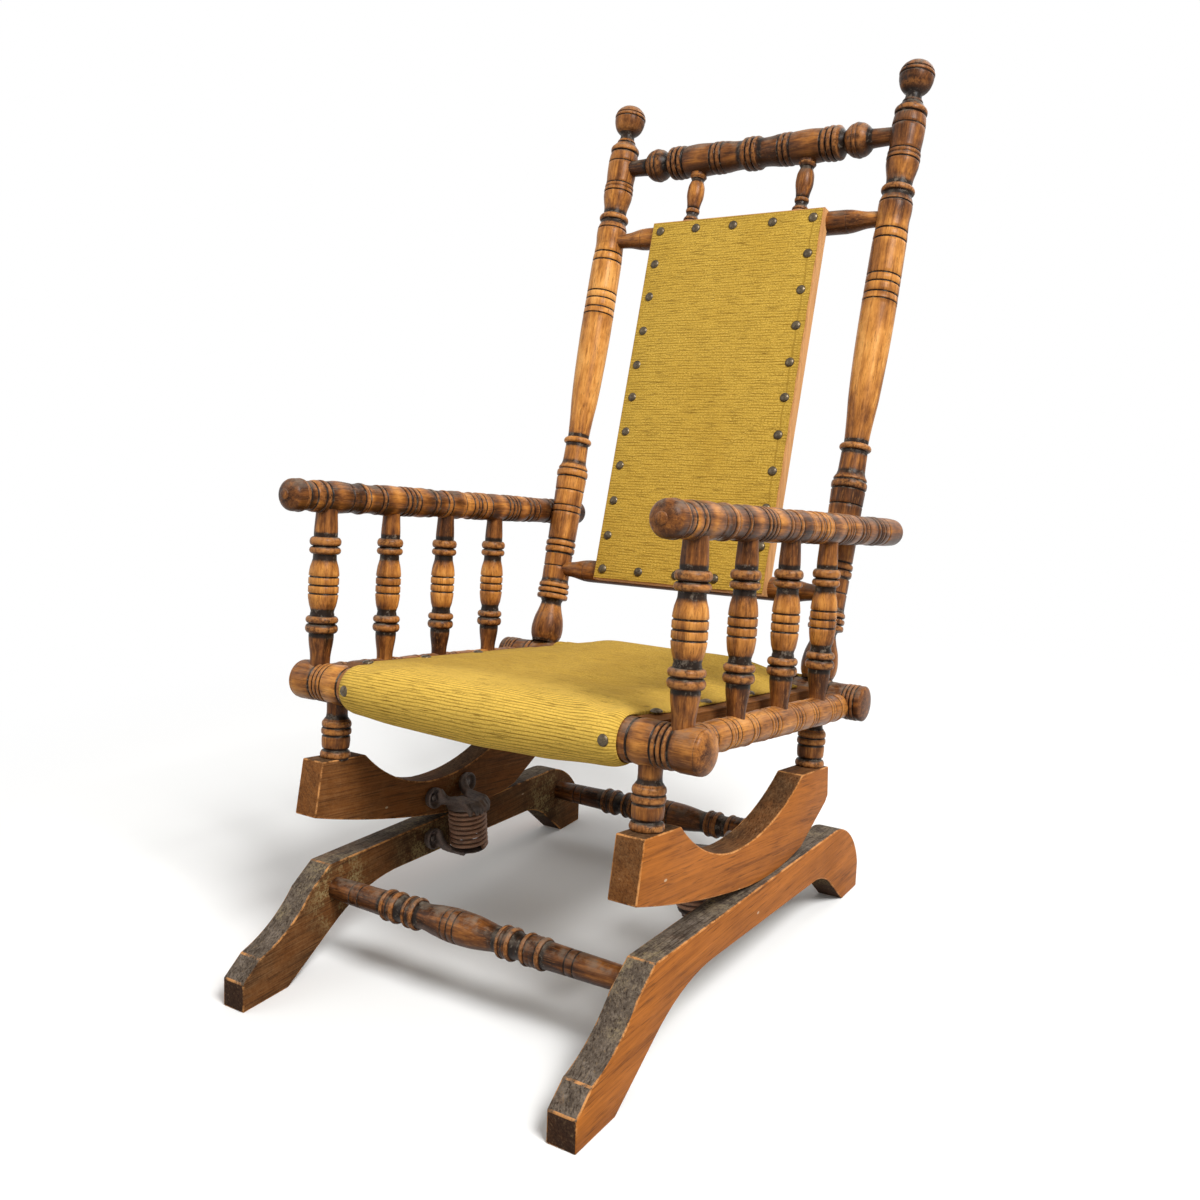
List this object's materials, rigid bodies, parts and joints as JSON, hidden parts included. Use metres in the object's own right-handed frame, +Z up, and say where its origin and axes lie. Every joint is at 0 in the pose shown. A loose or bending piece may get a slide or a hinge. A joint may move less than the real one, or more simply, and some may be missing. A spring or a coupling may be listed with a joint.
{
  "type": "platform rocker",
  "caption": "Turned-wood rocking armchair whose bowed rockers roll on a low platform and are held to it by coil springs.",
  "frame": {"origin": "centre of the bounding box, on the floor", "axes": "+X towards the chair's left side, -Y towards its front, +Z up; the chair stands at rest on its springs"},
  "size_m": [0.542, 0.8386, 1.01],
  "materials": {
    "turned_wood": "worn brown varnish",
    "dark_wood": "worn brown varnish",
    "raw_wood": "unvarnished",
    "upholstery": "ribbed mustard cloth",
    "hessian": "plain weave",
    "tack_bronze": "dark aged bronze",
    "bracket_iron": "dark, slightly rusted",
    "screw_steel": "dull",
    "spring_steel": "rusty brown"
  },
  "bodies": {
    "base": {"base_front_stretcher": "dark_wood", "base_rear_stretcher": "dark_wood", "base_side_left": "dark_wood", "base_side_right": "dark_wood", "lower_bracket_left": "bracket_iron", "lower_bracket_right": "bracket_iron", "lower_bracket_screws": "screw_steel", "springs": "spring_steel"},
    "roll": {"rocking_pins": "screw_steel"},
    "chair": {"arm_rail_left": "turned_wood", "arm_rail_right": "turned_wood", "arm_spindle_left_1": "turned_wood", "arm_spindle_left_2": "turned_wood", "arm_spindle_left_3": "turned_wood", "arm_spindle_left_4": "turned_wood", "arm_spindle_right_1": "turned_wood", "arm_spindle_right_2": "turned_wood", "arm_spindle_right_3": "turned_wood", "arm_spindle_right_4": "turned_wood", "back_bottom_batten": "raw_wood", "back_cover": "upholstery", "back_lining": "hessian", "back_lower_rail": "turned_wood", "back_post_left": "turned_wood", "back_post_right": "turned_wood", "back_stile_left": "raw_wood", "back_stile_right": "raw_wood", "back_tacks": "tack_bronze", "back_top_batten": "raw_wood", "back_upper_rail": "turned_wood", "crest_rail": "turned_wood", "crest_spindle_left": "turned_wood", "crest_spindle_right": "turned_wood", "inner_rail_left": "raw_wood", "inner_rail_right": "raw_wood", "leg_front_left": "turned_wood", "leg_front_right": "turned_wood", "leg_rear_left": "turned_wood", "leg_rear_right": "turned_wood", "rocker_left": "dark_wood", "rocker_right": "dark_wood", "seat_cover": "upholstery", "seat_front_rail": "turned_wood", "seat_rear_rail": "turned_wood", "seat_tacks": "tack_bronze", "seat_webbing": "hessian", "side_rail_left": "turned_wood", "side_rail_right": "turned_wood", "upper_bracket_left": "bracket_iron", "upper_bracket_right": "bracket_iron", "upper_bracket_screws": "screw_steel"}
  },
  "joints": [
    {"name": "rocking_travel", "type": "slide", "parent": "base", "child": "roll", "axis": [0, -0.9989, 0.0471], "range_m": [-0.0545, 0.0545]},
    {"name": "rocking", "type": "hinge", "parent": "roll", "child": "chair", "pos_m": [0, -0.01055, 0.48727], "axis": [1, 0, 0], "range_deg": [-8, 8], "stiffness_Nm_per_rad": 150, "springref_deg": 1.71, "deforming": ["springs"]}
  ],
  "couplings": [
    {"joint": "rocking_travel", "follows": "rocking", "m_per_rad": 0.384}
  ]
}
